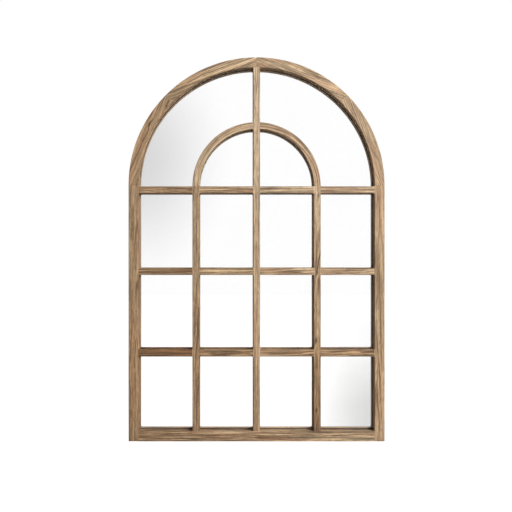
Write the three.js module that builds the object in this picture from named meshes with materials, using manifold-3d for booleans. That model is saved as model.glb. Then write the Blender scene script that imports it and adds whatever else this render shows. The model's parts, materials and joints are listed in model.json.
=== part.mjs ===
// Arched window mirror: a wooden frame with a half-round head, flush glazing bars in front of one
// arched sheet of mirror glass, a backing board, and two strap hangers with swinging D-rings.
//
// Millimetres, +Z up. The front faces -Y and +X is to the right. The wall plane is y = 0, and the
// origin is on it, midway between the two hooks that the D-rings hang on. The pieces are drawn with
// z counted from the bottom edge of the frame, and the whole group is lowered to the hooks' height.

import * as THREE from 'three';
import { mergeVertices } from 'three/addons/utils/BufferGeometryUtils.js';
import Module from 'manifold-3d';

const wasm = await Module();
wasm.setup();

// ---- Driving dimensions ----------------------------------------------------------------------

// Outside of the frame
const frameWidth = 800;
const frameHeight = 1200;
const frameDepth = 32;
const memberFace = 32; // face width of the stiles, the arch and the bottom rail
const edgeEase = 1.5; // radius on the front edges of every wooden member

// Glazing bars
const barFace = 22;
const sideColumns = 2; // columns of panes on each side of the centre muntin
const rowNames = ['lower_bar', 'middle_bar', 'spring_bar']; // from the bottom up
const springBarDrop = 3; // from the spring line down to the top of the spring bars

// Glass and backing board
const glassSetback = 20; // from the front of the frame to the front of the glass
const glassThickness = 4;
const glassLap = 8; // how far the frame laps over the glass
const boardThickness = 3;
const boardLap = 8; // how far the board laps over the frame, outside the glass
const sheetFit = 0.5; // between a sheet's edge and its rebate
const barGlassGap = 0.3; // between the bars' backs and the glass

// Stub tenons
const tenonLength = 6;
const tenonThickness = 8;
const tenonShoulder = 4; // step from a bar's side to its tenon
const jointFit = 0.3; // air round a tenon, spline, dowel or screw in its recess

// Arch joints
const segmentNames = ['arch_right_lower', 'arch_right_upper', 'arch_left_upper', 'arch_left_lower'];
const glueLine = 0.3; // between two arch segments
const splineWidth = 14;
const splineLength = 28;
const splineThickness = 6;
const splineInset = 6; // from the outer edge of the frame to the spline

// Dowels in the bottom corners
const dowelDiameter = 6;
const dowelInStile = 14;
const dowelInRail = 20;
const dowelSpacing = 14;
const dowelChamfer = 1;

// Screws
const screwDiameter = 3;
const screwLength = 14;
const screwTip = 2;
const screwHeadDiameter = 6;
const screwHeadHeight = 2;
const recessLength = 3.4;
const recessWidth = 0.8;
const recessDepth = 1.1;
const rimShare = 0.4; // straight part of the head's edge, as a share of its height
const domeShare = [0.75, 0.85]; // where the dome bends, as shares of the head's radius and height
const screwsPerStile = 3;

// Hangers
const hookDrop = 40; // from the spring line down to the hook line
const wireDiameter = 2.4;
const ringWidth = 15.8; // outside
const ringReach = 15; // from the hinge axis to the inside of the ring's round end
const ringCorner = 2.6; // bend radius of the wire's two corners, on its centre line
const ringSeam = 0.6; // gap between the wire's two ends, inside the knuckle
const strapThickness = 1.2;
const strapWidth = 13;
const strapLength = 46;
const knuckleWidth = 8.6;
const knuckleFit = 0.3; // between the wire and the knuckle
const firstScrewDrop = 24; // from the hinge axis to the upper screw
const screwPitch = 15;

// Wall bumpers
const bumperDiameter = 12;
const bumperHeight = 6;
const bumperRound = 1.2; // rounding of its rim
const lowBumperHeight = 20;
const highBumperAngle = 60; // degrees up round the arch
const rimMiddle = 0.3; // the rim's middle point, as a share of its rounding

const cutPast = 1; // how far a cutter runs past the face that it opens

// Smoothness of round shapes
const arcStep = 3; // degrees on the arches
const easeFacets = 2; // on each eased edge, an even count
const screwSides = 12;
const dowelSides = 16;
const bumperSides = 20;
const knuckleSides = 20;
const wireSides = 8;
const wireSteps = 44;
const stepSlack = 0.1; // an arch longer by less than this share of a step gets no step more
const mergeDistance = 1e-5; // corners closer than this are one corner

// ---- Places worked out from them --------------------------------------------------------------

const degree = Math.PI / 180;
const halfWidth = frameWidth / 2;
const springZ = frameHeight - halfWidth;
const openHalfWidth = halfWidth - memberFace;

const backY = -bumperHeight;
const frontY = backY - frameDepth;
const glassFrontY = frontY + glassSetback;
const glassBackY = glassFrontY + glassThickness;
const boardBackY = glassBackY + boardThickness;
const barBackY = glassFrontY - barGlassGap;
const tenonMidY = (frontY + barBackY) / 2;
const tenonY = [tenonMidY - tenonThickness / 2, tenonMidY + tenonThickness / 2];

const glassInset = memberFace - glassLap; // from the outer edge to the glass rebate
const boardInset = glassInset - boardLap;
const wallMiddle = boardInset / 2; // middle of the frame's flat back
const screwInset = boardInset + boardLap / 2;

const columnPitch = (openHalfWidth + barFace / 2) / sideColumns;
const bayWidth = columnPitch - barFace;
const innerSpringZ = springZ - springBarDrop; // the inner arch stands here, on the side muntins
const rowPitch = (innerSpringZ - memberFace) / rowNames.length;
const rowCentres = rowNames.map((_, row) => memberFace + rowPitch * (row + 1) - barFace / 2);
const bayCentres = [];
for (let column = -sideColumns; column < sideColumns; column++) {
  bayCentres.push((column + 0.5) * columnPitch);
}

const innerArchRadius = columnPitch; // on the centre line of the bar
const segmentAngle = Math.PI / segmentNames.length;
const splineRadius = halfWidth - splineInset - splineWidth / 2;

const hookHeight = springZ - hookDrop;
const wireRadius = wireDiameter / 2;
const knuckleBore = wireRadius + knuckleFit;
const knuckleRadius = knuckleBore + strapThickness;
const hingeY = backY + knuckleRadius;
const hingeZ = hookHeight - ringReach;
const hangerX = halfWidth - wallMiddle;

// ---- Materials --------------------------------------------------------------------------------

const standard = (color, roughness, metalness) =>
  new THREE.MeshStandardMaterial({ color, roughness, metalness });

const frameWood = standard(0xa98c69, 0.75, 0);
const barWood = standard(0xa08360, 0.75, 0);
const hiddenWood = standard(0xc9a877, 0.8, 0);
const mirror = standard(0xf2f4f4, 0.03, 1);
const fibreboard = standard(0x8a6a48, 0.85, 0);
const steel = standard(0xb9bcc0, 0.35, 1);
const rubber = standard(0x2a2a2b, 0.8, 0);

// ---- Solids -----------------------------------------------------------------------------------

function toSolid(geometry) {
  const bare = geometry.clone();
  bare.deleteAttribute('normal');
  bare.deleteAttribute('uv');
  const merged = mergeVertices(bare, mergeDistance);
  const vertProperties = Float32Array.from(merged.attributes.position.array);
  const triVerts = Uint32Array.from(merged.index.array);
  return new wasm.Manifold(new wasm.Mesh({ numProp: 3, vertProperties, triVerts }));
}

function toGeometry(solid) {
  const mesh = solid.getMesh();
  const geometry = new THREE.BufferGeometry();
  geometry.setAttribute('position', new THREE.BufferAttribute(mesh.vertProperties, 3));
  geometry.setIndex(new THREE.BufferAttribute(mesh.triVerts, 1));
  geometry.computeVertexNormals();
  return geometry;
}

const joined = (solids) => solids.reduce((whole, next) => whole.add(next));
const grown = ([low, high], by) => [low - by, high + by];

// A box between two x, two y and two z.
function block(x, y, z) {
  const geometry = new THREE.BoxGeometry(x[1] - x[0], y[1] - y[0], z[1] - z[0]);
  geometry.translate((x[0] + x[1]) / 2, (y[0] + y[1]) / 2, (z[0] + z[1]) / 2);
  return toSolid(geometry);
}

// The cross-section of a wooden member, centred on x = 0, with its two front edges eased.
function easedSection(face, yBack) {
  const half = face / 2;
  const section = new THREE.Shape();
  section.moveTo(-half, yBack);
  section.lineTo(-half, frontY + edgeEase);
  section.absarc(-half + edgeEase, frontY + edgeEase, edgeEase, Math.PI, 1.5 * Math.PI);
  section.absarc(half - edgeEase, frontY + edgeEase, edgeEase, 1.5 * Math.PI, 2 * Math.PI);
  section.lineTo(half, yBack);
  section.closePath();
  return section;
}

const frameSection = easedSection(memberFace, backY);
const barSection = easedSection(barFace, barBackY);

// A straight upright member with its middle at x, between two heights.
function upright(section, x, z) {
  const options = { depth: z[1] - z[0], bevelEnabled: false, curveSegments: easeFacets / 2 };
  return toSolid(new THREE.ExtrudeGeometry(section, options).translate(x, 0, z[0]));
}

// A straight level member with its middle at height z, between two x.
function level(section, x, z) {
  const options = { depth: x[1] - x[0], bevelEnabled: false, curveSegments: easeFacets / 2 };
  const geometry = new THREE.ExtrudeGeometry(section, options);
  return toSolid(geometry.rotateY(Math.PI / 2).translate(x[0], 0, z));
}

// A member bent round a centre at x = 0 and height centreZ. Angles run up from +X.
function bent(section, radius, from, to, centreZ) {
  const outline = section.getPoints(easeFacets / 2);
  if (outline[0].equals(outline.at(-1))) {
    outline.pop();
  }
  const count = outline.length;
  const steps = Math.ceil((to - from) / (arcStep * degree) - stepSlack);
  const positions = [];
  const index = [];
  for (let step = 0; step <= steps; step++) {
    const angle = from + ((to - from) * step) / steps;
    for (const point of outline) {
      const r = radius + point.x;
      positions.push(r * Math.cos(angle), point.y, centreZ + r * Math.sin(angle));
    }
  }
  for (let step = 0; step < steps; step++) {
    for (let corner = 0; corner < count; corner++) {
      const a = step * count + corner;
      const b = step * count + ((corner + 1) % count);
      index.push(a, b, b + count, a, b + count, a + count);
    }
  }
  const last = steps * count;
  for (const [a, b, c] of THREE.ShapeUtils.triangulateShape(outline, [])) {
    index.push(c, b, a, last + a, last + b, last + c);
  }
  const geometry = new THREE.BufferGeometry();
  geometry.setAttribute('position', new THREE.Float32BufferAttribute(positions, 3));
  geometry.setIndex(index);
  return toSolid(geometry);
}

// A sheet with the frame's arched outline, drawn in by inset, between two y.
function archedSheet(inset, y) {
  const half = halfWidth - inset;
  const outline = new THREE.Shape();
  outline.moveTo(-half, inset);
  outline.lineTo(half, inset);
  outline.absarc(0, springZ, half, 0, Math.PI);
  outline.closePath();
  const depth = y[1] - y[0];
  const options = { depth, bevelEnabled: false, curveSegments: 90 / arcStep };
  const geometry = new THREE.ExtrudeGeometry(outline, options);
  return toSolid(geometry.rotateX(Math.PI / 2).translate(0, y[1], 0));
}

// A round bar along Y.
function roundY(radius, y, x, z, roundSides) {
  const geometry = new THREE.CylinderGeometry(radius, radius, y[1] - y[0], roundSides);
  return toSolid(geometry.translate(x, (y[0] + y[1]) / 2, z));
}

// A stub tenon in the bars' middle plane, or its mortise when it is grown.
const peg = (x, z) => block(x, tenonY, z);
const pegHole = (x, z) => block(grown(x, jointFit), grown(tenonY, jointFit), grown(z, jointFit));

// ---- Joints between the members ----------------------------------------------------------------

const tenonHalf = barFace / 2 - tenonShoulder;

// Where a bar's two tenons lie, counted from the middle of the bar.
const barReach = bayWidth / 2 + tenonLength;
const around = (middle, half) => [middle - half, middle + half];

const barMortises = joined(
  rowCentres.flatMap((z) =>
    bayCentres.map((x) => pegHole(around(x, barReach), around(z, tenonHalf))),
  ),
);

const muntinXs = [];
for (let column = 1 - sideColumns; column < sideColumns; column++) {
  muntinXs.push(column * columnPitch);
}
const footZ = [memberFace - tenonLength, memberFace];
const topZ = frameHeight - memberFace;
const headZ = [topZ, topZ + tenonLength];
const muntinMortises = joined([
  ...muntinXs.map((x) => pegHole(around(x, tenonHalf), [footZ[0], footZ[1] + tenonShoulder])),
  pegHole(around(0, tenonHalf), [headZ[0] - tenonShoulder, headZ[1]]),
]);

// Splines lie square to each arch joint: across at the spring line, turning with the arch.
const splineAngles = [0, ...segmentNames.map((_, i) => (i + 1) * segmentAngle)];
const splineBox = (by) =>
  new THREE.BoxGeometry(splineWidth + by * 2, splineThickness + by * 2, splineLength + by * 2);
const placeSpline = (thing, angle) => {
  thing.rotation.y = -angle;
  const x = splineRadius * Math.cos(angle);
  const z = springZ + splineRadius * Math.sin(angle);
  thing.position.set(x, tenonMidY, z);
  thing.updateMatrix();
  return thing;
};
const splineSlots = joined(
  splineAngles.map((angle) => {
    const { matrix } = placeSpline(new THREE.Object3D(), angle);
    return toSolid(splineBox(jointFit).applyMatrix4(matrix));
  }),
);

// Dowels run level through the rail's ends into the stiles.
const dowelLength = dowelInStile + dowelInRail;
const dowelHeights = { lower: -dowelSpacing / 2, upper: dowelSpacing / 2 };
const dowelMiddleX = openHalfWidth + (dowelInStile - dowelInRail) / 2;
const sides = { left: -1, right: 1 };
const dowelPlaces = Object.entries(sides).flatMap(([side, sign]) =>
  Object.entries(dowelHeights).map(([height, dz]) => ({
    name: `rail_dowel_${side}_${height}`,
    position: new THREE.Vector3(sign * dowelMiddleX, tenonMidY, memberFace / 2 + dz),
  })),
);
const dowelHoles = joined(
  dowelPlaces.map(({ position }) => {
    const radius = dowelDiameter / 2 + jointFit;
    const length = dowelLength + jointFit * 2;
    const hole = new THREE.CylinderGeometry(radius, radius, length, dowelSides);
    return toSolid(hole.rotateZ(Math.PI / 2).translate(position.x, position.y, position.z));
  }),
);

// Board screws stand on the ledge between the two rebates.
const screwPlaces = [];
for (const sign of Object.values(sides)) {
  for (let i = 0; i < screwsPerStile; i++) {
    const z = (springZ * (i + 0.5)) / screwsPerStile;
    screwPlaces.push([sign * (halfWidth - screwInset), z]);
  }
  screwPlaces.push([sign * (columnPitch / 2), screwInset]);
}
segmentNames.forEach((_, i) => {
  const angle = (i + 0.5) * segmentAngle;
  const r = halfWidth - screwInset;
  screwPlaces.push([r * Math.cos(angle), springZ + r * Math.sin(angle)]);
});

const hangerScrewHeights = [hingeZ - firstScrewDrop, hingeZ - firstScrewDrop - screwPitch];
const strapBackY = backY + strapThickness;
const holeRadius = screwDiameter / 2 + jointFit;
const screwHoles = joined([
  ...screwPlaces.map(([x, z]) => {
    const y = [boardBackY - screwLength - jointFit, boardBackY + cutPast];
    return roundY(holeRadius, y, x, z, screwSides);
  }),
  ...Object.values(sides).flatMap((sign) =>
    hangerScrewHeights.map((z) => {
      const y = [strapBackY - screwLength - jointFit, strapBackY + cutPast];
      return roundY(holeRadius, y, sign * hangerX, z, screwSides);
    }),
  ),
]);

// The two rebates are cut into the back of the joined frame, right round.
const rebates = joined([
  archedSheet(glassInset, [glassFrontY, backY + cutPast]),
  archedSheet(boardInset, [glassBackY, backY + cutPast]),
]);

const frameCuts = joined([
  rebates,
  barMortises,
  muntinMortises,
  splineSlots,
  dowelHoles,
  screwHoles,
]);

// ---- The assembly ------------------------------------------------------------------------------

const assembly = new THREE.Group();
assembly.position.z = -hookHeight;

function place(name, geometry, material, position = new THREE.Vector3()) {
  const mesh = new THREE.Mesh(geometry, material.clone());
  mesh.name = name;
  mesh.position.copy(position);
  assembly.add(mesh);
  return mesh;
}

// Frame: stiles, bottom rail and the four arch segments
for (const [side, sign] of Object.entries(sides)) {
  const x = sign * (halfWidth - memberFace / 2);
  const stile = upright(frameSection, x, [0, springZ - glueLine / 2]);
  place(`${side}_stile`, toGeometry(stile.subtract(frameCuts)), frameWood);
}

const rail = level(frameSection, [-openHalfWidth, openHalfWidth], memberFace / 2);
place('bottom_rail', toGeometry(rail.subtract(frameCuts)), frameWood);

const archMiddleRadius = halfWidth - memberFace / 2;
const glueAngle = glueLine / 2 / archMiddleRadius;
segmentNames.forEach((name, i) => {
  const from = i * segmentAngle + glueAngle;
  const to = (i + 1) * segmentAngle - glueAngle;
  const segment = bent(frameSection, archMiddleRadius, from, to, springZ);
  place(name, toGeometry(segment.subtract(frameCuts)), frameWood);
});

// Splines and dowels
const splineNames = ['right_foot', 'right_shoulder', 'top', 'left_shoulder', 'left_foot'];
splineAngles.forEach((angle, i) => {
  placeSpline(place(`arch_spline_${splineNames[i]}`, splineBox(0), hiddenWood), angle);
});

function dowelGeometry() {
  const r = dowelDiameter / 2;
  const half = dowelLength / 2;
  const profile = [
    new THREE.Vector2(0, -half),
    new THREE.Vector2(r - dowelChamfer, -half),
    new THREE.Vector2(r, -half + dowelChamfer),
    new THREE.Vector2(r, half - dowelChamfer),
    new THREE.Vector2(r - dowelChamfer, half),
    new THREE.Vector2(0, half),
  ];
  return new THREE.LatheGeometry(profile, dowelSides);
}
for (const { name, position } of dowelPlaces) {
  place(name, dowelGeometry(), hiddenWood, position).rotation.z = Math.PI / 2;
}

// Muntins. The centre one runs up to the arch, and its head is scribed to the arch's inside.
for (const [side, sign] of Object.entries(sides)) {
  for (let column = 1; column < sideColumns; column++) {
    const x = sign * column * columnPitch;
    const name = column === 1 ? `${side}_muntin` : `${side}_muntin_${column}`;
    const body = upright(barSection, 0, [memberFace, innerSpringZ]);
    const tenons = peg(around(0, tenonHalf), [footZ[0], innerSpringZ + tenonLength]);
    const mortises = barMortises.translate([-x, 0, 0]);
    const muntin = body.add(tenons).subtract(mortises);
    place(name, toGeometry(muntin), barWood, new THREE.Vector3(x, 0, 0));
  }
}

const crownZ = around(innerSpringZ + innerArchRadius, tenonHalf);
const crownX = [barFace / 2 - tenonLength, barFace / 2 + tenonShoulder];
const mirrored = ([low, high], sign) => (sign > 0 ? [low, high] : [-high, -low]);
const wholeDepth = [frontY - cutPast, backY];
const archInside = roundY(openHalfWidth - jointFit, wholeDepth, 0, springZ, 360 / arcStep);
const aboveHead = block(around(0, barFace), wholeDepth, around(topZ, memberFace));
const centreMuntin = upright(barSection, 0, [memberFace, topZ])
  .subtract(aboveHead.subtract(archInside))
  .add(peg(around(0, tenonHalf), [footZ[0], headZ[1]]))
  .subtract(barMortises)
  .subtract(pegHole(mirrored(crownX, 1), crownZ))
  .subtract(pegHole(mirrored(crownX, -1), crownZ));
place('centre_muntin', toGeometry(centreMuntin), barWood);

// Short cross bars, all alike, with a stub tenon at each end
rowNames.forEach((rowName, row) => {
  bayCentres.forEach((x, bay) => {
    const body = level(barSection, around(0, bayWidth / 2), 0);
    const bar = body.add(peg(around(0, barReach), around(0, tenonHalf)));
    const position = new THREE.Vector3(x, 0, rowCentres[row]);
    place(`${rowName}_${bay + 1}`, toGeometry(bar), barWood, position);
  });
});

// Inner arch: each half stands on a muntin's head and is tenoned into the centre muntin
for (const [side, sign] of Object.entries(sides)) {
  const from = sign > 0 ? 0 : Math.PI / 2;
  const footX = around(sign * innerArchRadius, tenonHalf);
  const half = bent(barSection, innerArchRadius, from, from + Math.PI / 2, innerSpringZ)
    .subtract(block(around(0, barFace / 2), wholeDepth, around(crownZ[0], barFace)))
    .add(peg(mirrored(crownX, sign), crownZ))
    .subtract(pegHole(footX, [innerSpringZ, innerSpringZ + tenonLength]));
  place(`inner_arch_${side}`, toGeometry(half), barWood);
}

// Glass and backing board
const glass = archedSheet(glassInset + sheetFit, [glassFrontY, glassBackY]);
place('mirror_glass', toGeometry(glass), mirror);

const board = archedSheet(boardInset + sheetFit, [glassBackY, boardBackY]);
place('backing_board', toGeometry(board.subtract(screwHoles)), fibreboard);

// Pan-head screws, drawn with the underside of the head at y = 0
function screwGeometry() {
  const shank = screwDiameter / 2;
  const head = screwHeadDiameter / 2;
  const profile = [
    new THREE.Vector2(0, -screwLength),
    new THREE.Vector2(shank, -screwLength + screwTip),
    new THREE.Vector2(shank, 0),
    new THREE.Vector2(head, 0),
    new THREE.Vector2(head, screwHeadHeight * rimShare),
    new THREE.Vector2(head * domeShare[0], screwHeadHeight * domeShare[1]),
    new THREE.Vector2(0, screwHeadHeight),
  ];
  const long = around(0, recessLength / 2);
  const wide = around(0, recessWidth / 2);
  const deep = [screwHeadHeight - recessDepth, screwHeadHeight + cutPast];
  return toGeometry(
    toSolid(new THREE.LatheGeometry(profile, screwSides))
      .subtract(block(long, deep, wide))
      .subtract(block(wide, deep, long)),
  );
}
screwPlaces.forEach(([x, z], i) => {
  const position = new THREE.Vector3(x, boardBackY, z);
  place(`board_screw_${i + 1}`, screwGeometry(), steel, position);
});

// Strap hangers and their rings, drawn about the hinge axis
function strapGeometry() {
  const y = [-knuckleRadius, -knuckleRadius + strapThickness];
  const half = strapWidth / 2;
  const end = half - strapLength;
  const neck = -knuckleRadius;
  const acrossX = (radius, width) => {
    const shape = new THREE.CylinderGeometry(radius, radius, width, knuckleSides);
    return toSolid(shape.rotateZ(Math.PI / 2));
  };
  const through = grown(y, cutPast);
  const holes = hangerScrewHeights.map((z) =>
    roundY(holeRadius, through, 0, z - hingeZ, screwSides),
  );
  return toGeometry(
    block(around(0, half), y, [end, neck])
      .add(roundY(half, y, 0, end, knuckleSides))
      .add(block(around(0, knuckleWidth / 2), y, [neck - cutPast, 0]))
      .add(acrossX(knuckleRadius, knuckleWidth))
      .subtract(acrossX(knuckleBore, knuckleWidth + cutPast * 2))
      .subtract(joined(holes)),
  );
}

// A D of bent wire that hangs from its straight side; the wire's ends meet inside the knuckle.
class WireLine extends THREE.Curve {
  constructor(flat) {
    super();
    this.flat = flat;
  }
  getPoint(t) {
    const { x, y } = this.flat.getPoint(t);
    return new THREE.Vector3(x, 0, y);
  }
}

function ringGeometry() {
  const half = ringWidth / 2 - wireRadius;
  const roundZ = half - ringReach - wireRadius;
  const line = new THREE.Path();
  line.moveTo(ringSeam / 2, 0);
  line.lineTo(half - ringCorner, 0);
  line.absarc(half - ringCorner, -ringCorner, ringCorner, Math.PI / 2, 0, true);
  line.lineTo(half, roundZ);
  line.absarc(0, roundZ, half, 0, -Math.PI, true);
  line.lineTo(-half, -ringCorner);
  line.absarc(ringCorner - half, -ringCorner, ringCorner, Math.PI, Math.PI / 2, true);
  line.lineTo(-ringSeam / 2, 0);
  const corners = Array.from({ length: wireSides }, (_, i) => {
    const angle = (i * 2 * Math.PI) / wireSides;
    return new THREE.Vector2(wireRadius * Math.cos(angle), wireRadius * Math.sin(angle));
  });
  const options = { steps: wireSteps, extrudePath: new WireLine(line), bevelEnabled: false };
  return new THREE.ExtrudeGeometry(new THREE.Shape(corners), options);
}

for (const [side, sign] of Object.entries(sides)) {
  const hinge = new THREE.Vector3(sign * hangerX, hingeY, hingeZ);
  place(`hanger_strap_${side}`, strapGeometry(), steel, hinge);
  place(`hanger_ring_${side}`, ringGeometry(), steel, hinge);
  hangerScrewHeights.forEach((z, i) => {
    const position = new THREE.Vector3(sign * hangerX, strapBackY, z);
    place(`hanger_screw_${side}_${i + 1}`, screwGeometry(), steel, position);
  });
}

// Wall bumpers, drawn with the stuck-on face at y = 0
function bumperGeometry() {
  const r = bumperDiameter / 2;
  const profile = [
    new THREE.Vector2(0, 0),
    new THREE.Vector2(r, 0),
    new THREE.Vector2(r, bumperHeight - bumperRound),
    new THREE.Vector2(r - bumperRound * rimMiddle, bumperHeight - bumperRound * rimMiddle),
    new THREE.Vector2(r - bumperRound, bumperHeight),
    new THREE.Vector2(0, bumperHeight),
  ];
  return new THREE.LatheGeometry(profile, bumperSides);
}
for (const [side, sign] of Object.entries(sides)) {
  const angle = highBumperAngle * degree;
  const highX = sign * hangerX * Math.cos(angle);
  const highZ = springZ + hangerX * Math.sin(angle);
  const low = new THREE.Vector3(sign * hangerX, backY, lowBumperHeight);
  const high = new THREE.Vector3(highX, backY, highZ);
  place(`bumper_low_${side}`, bumperGeometry(), rubber, low);
  place(`bumper_high_${side}`, bumperGeometry(), rubber, high);
}

export default assembly;
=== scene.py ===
"""Looks of the arched window mirror: weathered wooden frame and glazing bars, a silvered glass
sheet behind them, a hardboard back, zinc hangers and screws, and rubber bumpers.

Everything is in metres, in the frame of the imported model: the front faces -Y, +X is to the right
and +Z is up. Sizes and places are read from the model's own boxes and joints."""

import json
import math

import bmesh
import bpy
import numpy as np
from mathutils import Matrix, Vector
from mathutils.kdtree import KDTree


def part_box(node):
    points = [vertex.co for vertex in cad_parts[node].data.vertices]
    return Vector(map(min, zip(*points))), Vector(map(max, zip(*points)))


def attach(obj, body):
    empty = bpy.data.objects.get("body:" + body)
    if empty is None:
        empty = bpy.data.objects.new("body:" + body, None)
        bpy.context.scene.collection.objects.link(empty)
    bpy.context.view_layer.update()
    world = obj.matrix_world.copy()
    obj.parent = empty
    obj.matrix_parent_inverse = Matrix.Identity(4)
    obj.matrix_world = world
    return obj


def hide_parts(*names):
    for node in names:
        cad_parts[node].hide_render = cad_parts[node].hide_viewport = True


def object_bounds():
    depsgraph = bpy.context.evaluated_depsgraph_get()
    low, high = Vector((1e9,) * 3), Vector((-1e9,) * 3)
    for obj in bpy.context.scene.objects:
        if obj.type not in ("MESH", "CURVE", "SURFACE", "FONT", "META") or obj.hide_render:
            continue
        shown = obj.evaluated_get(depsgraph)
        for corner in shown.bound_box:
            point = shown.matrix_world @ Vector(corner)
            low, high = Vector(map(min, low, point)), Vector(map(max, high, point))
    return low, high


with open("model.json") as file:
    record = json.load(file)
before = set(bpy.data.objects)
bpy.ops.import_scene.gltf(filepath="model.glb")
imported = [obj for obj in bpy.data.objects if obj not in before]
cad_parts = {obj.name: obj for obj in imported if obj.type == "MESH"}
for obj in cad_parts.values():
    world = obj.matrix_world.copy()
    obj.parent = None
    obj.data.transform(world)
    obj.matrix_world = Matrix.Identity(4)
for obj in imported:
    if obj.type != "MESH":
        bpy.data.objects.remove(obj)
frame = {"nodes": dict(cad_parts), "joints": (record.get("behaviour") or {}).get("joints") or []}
cad_low, cad_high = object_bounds()

MM = 0.001

# ---- Layout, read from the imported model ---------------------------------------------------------

stile_low, stile_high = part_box("left_stile")
muntin_low, muntin_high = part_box("left_muntin")
glass_low, glass_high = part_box("mirror_glass")
board_low, board_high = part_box("backing_board")

HALF_WIDTH = cad_high.x
BOTTOM = cad_low.z
TOP = cad_high.z
SPRING_Z = TOP - HALF_WIDTH
FRONT_Y = cad_low.y
BACK_Y = stile_high.y
FACE = stile_high.x - stile_low.x
OPEN_HALF = HALF_WIDTH - FACE
BAR = muntin_high.x - muntin_low.x
BAR_BACK_Y = muntin_high.y
GLASS_FRONT_Y = glass_low.y
GLASS_BACK_Y = glass_high.y
BOARD_BACK_Y = board_high.y
SEAM = 2 * (SPRING_Z - stile_high.z)  # glue line between two arch segments

SIDE_X = -(muntin_low.x + muntin_high.x) / 2  # middle of the right-hand muntin
INNER_RADIUS = SIDE_X
COLUMN_EDGES = [
    (-OPEN_HALF, -SIDE_X - BAR / 2),
    (-SIDE_X + BAR / 2, -BAR / 2),
    (BAR / 2, SIDE_X - BAR / 2),
    (SIDE_X + BAR / 2, OPEN_HALF),
]
ROWS = {}
for row_name in ("lower_bar", "middle_bar", "spring_bar"):
    row_low, row_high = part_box(row_name + "_1")
    ROWS[row_name] = (row_low.z, row_high.z)
RAIL_TOP = BOTTOM + FACE
INNER_Z = ROWS["spring_bar"][1]  # the inner arch springs from the tops of these bars

SHEET_FIT = 0.5 * MM  # between a sheet's edge and its rebate
GLASS_INSET = glass_low.z - BOTTOM - SHEET_FIT
BOARD_INSET = board_low.z - BOTTOM - SHEET_FIT

# ---- How the wood was worked --------------------------------------------------------------------

EASE = 1.9 * MM  # radius on the front edges
EASE_WANDER = 0.12  # how much that radius varies along an edge, as a share
CUTTER = 4.5 * MM  # radius of the bearing that the edge cutter ran on
ROUTE_STEP = 0.5 * MM  # between the points of a cutter's route
STATION_STEP = 8 * MM  # along a member
ARC_STEP = 6 * MM
COLUMN_STEP = 1.7 * MM  # across its face
CLOSEST = 0.15 * MM  # least distance between two ordinary stations
STEP_WIDTH = 0.02 * MM  # between the two stations where a rebate starts
HAIRLINE = 0.04 * MM  # at each end of a short bar
BACK_CHAMFER = 0.6 * MM
BRUSHED_DEPTH = 0.14 * MM  # relief that the wire brush left on the faces
NICK_DEPTH = 0.5 * MM
NEAR_EDGE = np.array([0, 0.12, 0.35, 0.7, 1.2, 1.9, 2.8]) * MM
NEAR_JOINT = np.array([0, 0.4, 0.9, 1.5, 2.2, 3.0, 4.0, 5.2, 6.6]) * MM
WALL_DEPTHS = [FRONT_Y + depth * MM for depth in (4, 8, 12, 15, 17.5)]
WALL_NOOK_SHADES = [0, 0, 0.03, 0.14, 0.5]  # how much painted shade lies there, next to full shade at the glass
NO_EDGE = 9 * MM  # what a point away from the face says of its distance to a pane
UPRIGHT_ROWS = 0.2  # how strongly rows of grain show on every member
LEVEL_ROWS_SHADE = 0.8  # and how much more on one whose grain runs level: painted light and shade on its brushed furrows, as if lit from above


def smooth_noise(points, scales, seed):
    """Smooth noise, mostly from -1 to 1, at points (n, 3), with its own scale along each axis."""
    rng = np.random.default_rng(seed)
    waves = 14
    directions = rng.normal(size=(waves, 3)) * np.asarray(scales)
    phases = rng.uniform(0, 2 * math.pi, waves)
    return np.sin(points @ directions.T + phases).sum(axis=1) / math.sqrt(waves)


# ---- Cutter routes: the easing follows each pane, so inner corners come out softly rounded ------


def route_line(start, end):
    start, end = np.array(start), np.array(end)
    count = max(2, int(np.linalg.norm(end - start) / ROUTE_STEP))
    return [start + (end - start) * i / count for i in range(count)]


def route_arc(radius, start, end, centre_z):
    """Points along an arc about x = 0 and height centre_z, between two angles."""
    count = max(2, int(abs(end - start) * radius / ROUTE_STEP))
    angles = [start + (end - start) * i / count for i in range(count)]
    return [np.array((radius * math.cos(a), centre_z + radius * math.sin(a))) for a in angles]


def route_of_pane(x0, x1, z0, z1):
    corners = [(x0, z0), (x1, z0), (x1, z1), (x0, z1)]
    inset = [
        (x + math.copysign(CUTTER, (x0 + x1) / 2 - x), z + math.copysign(CUTTER, (z0 + z1) / 2 - z))
        for x, z in corners
    ]
    return [p for i in range(4) for p in route_line(inset[i], inset[(i + 1) % 4])]


def route_of_lunette(inner, outer, outer_z):
    """The right-hand pane between the spring bar, the centre muntin and one or two arches. The
    outer arch is drawn about height outer_z."""
    x, z = BAR / 2 + CUTTER, INNER_Z + CUTTER
    far = outer - CUTTER
    start, end = math.asin((z - outer_z) / far), math.acos(x / far)
    right = (far * math.cos(start), z)
    top = (x, outer_z + far * math.sin(end))
    route = route_arc(far, start, end, outer_z)
    if not inner:
        return route + route_line(top, (x, z)) + route_line((x, z), right)
    near = inner + CUTTER
    inner_start, inner_end = math.acos(x / near), math.asin(CUTTER / near)
    crown = (x, INNER_Z + near * math.sin(inner_start))
    foot = (near * math.cos(inner_end), z)
    route += route_line(top, crown) + route_arc(near, inner_start, inner_end, INNER_Z)
    return route + route_line(foot, right)


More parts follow.
